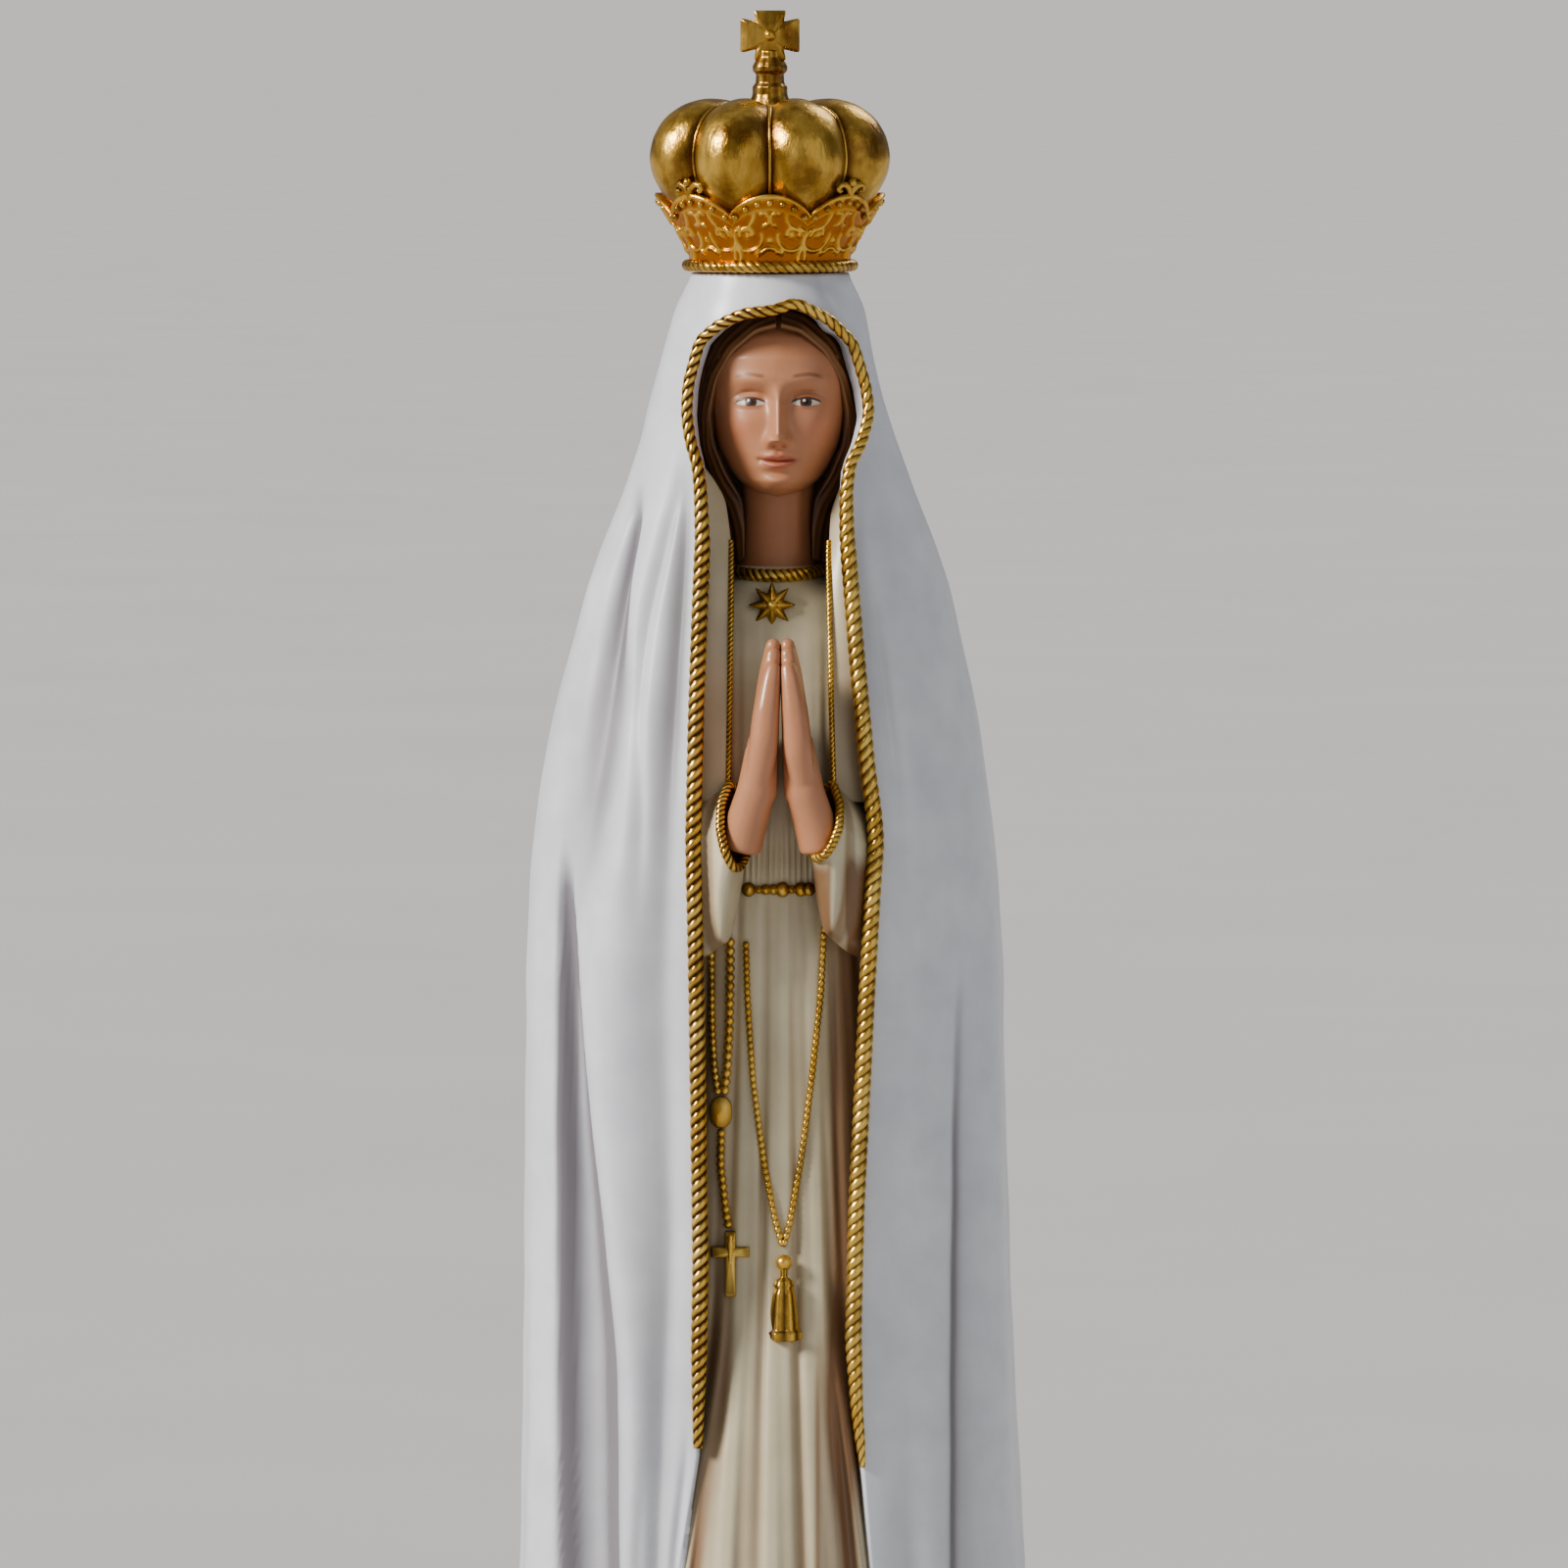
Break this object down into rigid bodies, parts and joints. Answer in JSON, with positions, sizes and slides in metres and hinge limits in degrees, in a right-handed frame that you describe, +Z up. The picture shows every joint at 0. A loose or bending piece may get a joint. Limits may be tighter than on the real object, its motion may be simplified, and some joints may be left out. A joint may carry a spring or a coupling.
{
  "type": "madonna statue",
  "caption": "Standing praying madonna in a white mantle with gilt edging and a lift-off crown, on a cloud and a round plinth.",
  "frame": {"origin": "centre of the underside, on the surface the statue stands on", "axes": "+Z up through the figure to the cross; the figure faces -Y; +X to the viewer's right"},
  "size_m": [0.084, 0.084, 0.3],
  "materials": {
    "mantle_white": "satin",
    "robe_cream": "satin",
    "skin": "satin",
    "hair": "satin",
    "cloud_paint": "satin",
    "plinth_paint": "satin",
    "gilt": "satin",
    "crown_gold": "satin",
    "brass": "satin",
    "steel": "satin",
    "felt": "matte"
  },
  "bodies": {
    "figure": {"felt_pad": "felt", "plinth": "plinth_paint", "plinth_gilt_band": "gilt", "fixing_screw": "steel", "screw_washer": "steel", "cloud": "cloud_paint", "head": "skin", "hair": "hair", "right_hand": "skin", "left_hand": "skin", "robe": "robe_cream", "right_sleeve": "robe_cream", "left_sleeve": "robe_cream", "right_cuff_edging": "gilt", "left_cuff_edging": "gilt", "mantle": "mantle_white", "right_veil_edging": "gilt", "left_veil_edging": "gilt", "mantle_cord": "gilt", "neckline_edging": "gilt", "star_brooch": "gilt", "belt": "gilt", "neck_chain": "gilt", "pendant_bead": "gilt", "pendant": "gilt", "rosary_medal": "gilt", "rosary_outer_strand": "gilt", "rosary_inner_strand": "gilt", "rosary_drop": "gilt", "rosary_crucifix": "gilt"},
    "crown": {"crown_peg": "brass", "crown_band": "crown_gold", "crown_rim": "crown_gold", "crown_cap": "crown_gold", "crown_ribs": "crown_gold", "crown_scallops": "crown_gold", "crown_pearls": "crown_gold", "crown_cross": "crown_gold", "cross_stem": "crown_gold"}
  },
  "joints": [
    {"name": "crown_lift", "type": "slide", "parent": "figure", "child": "crown", "axis": [0, 0, 1], "range_m": [0, 0.03]}
  ]
}
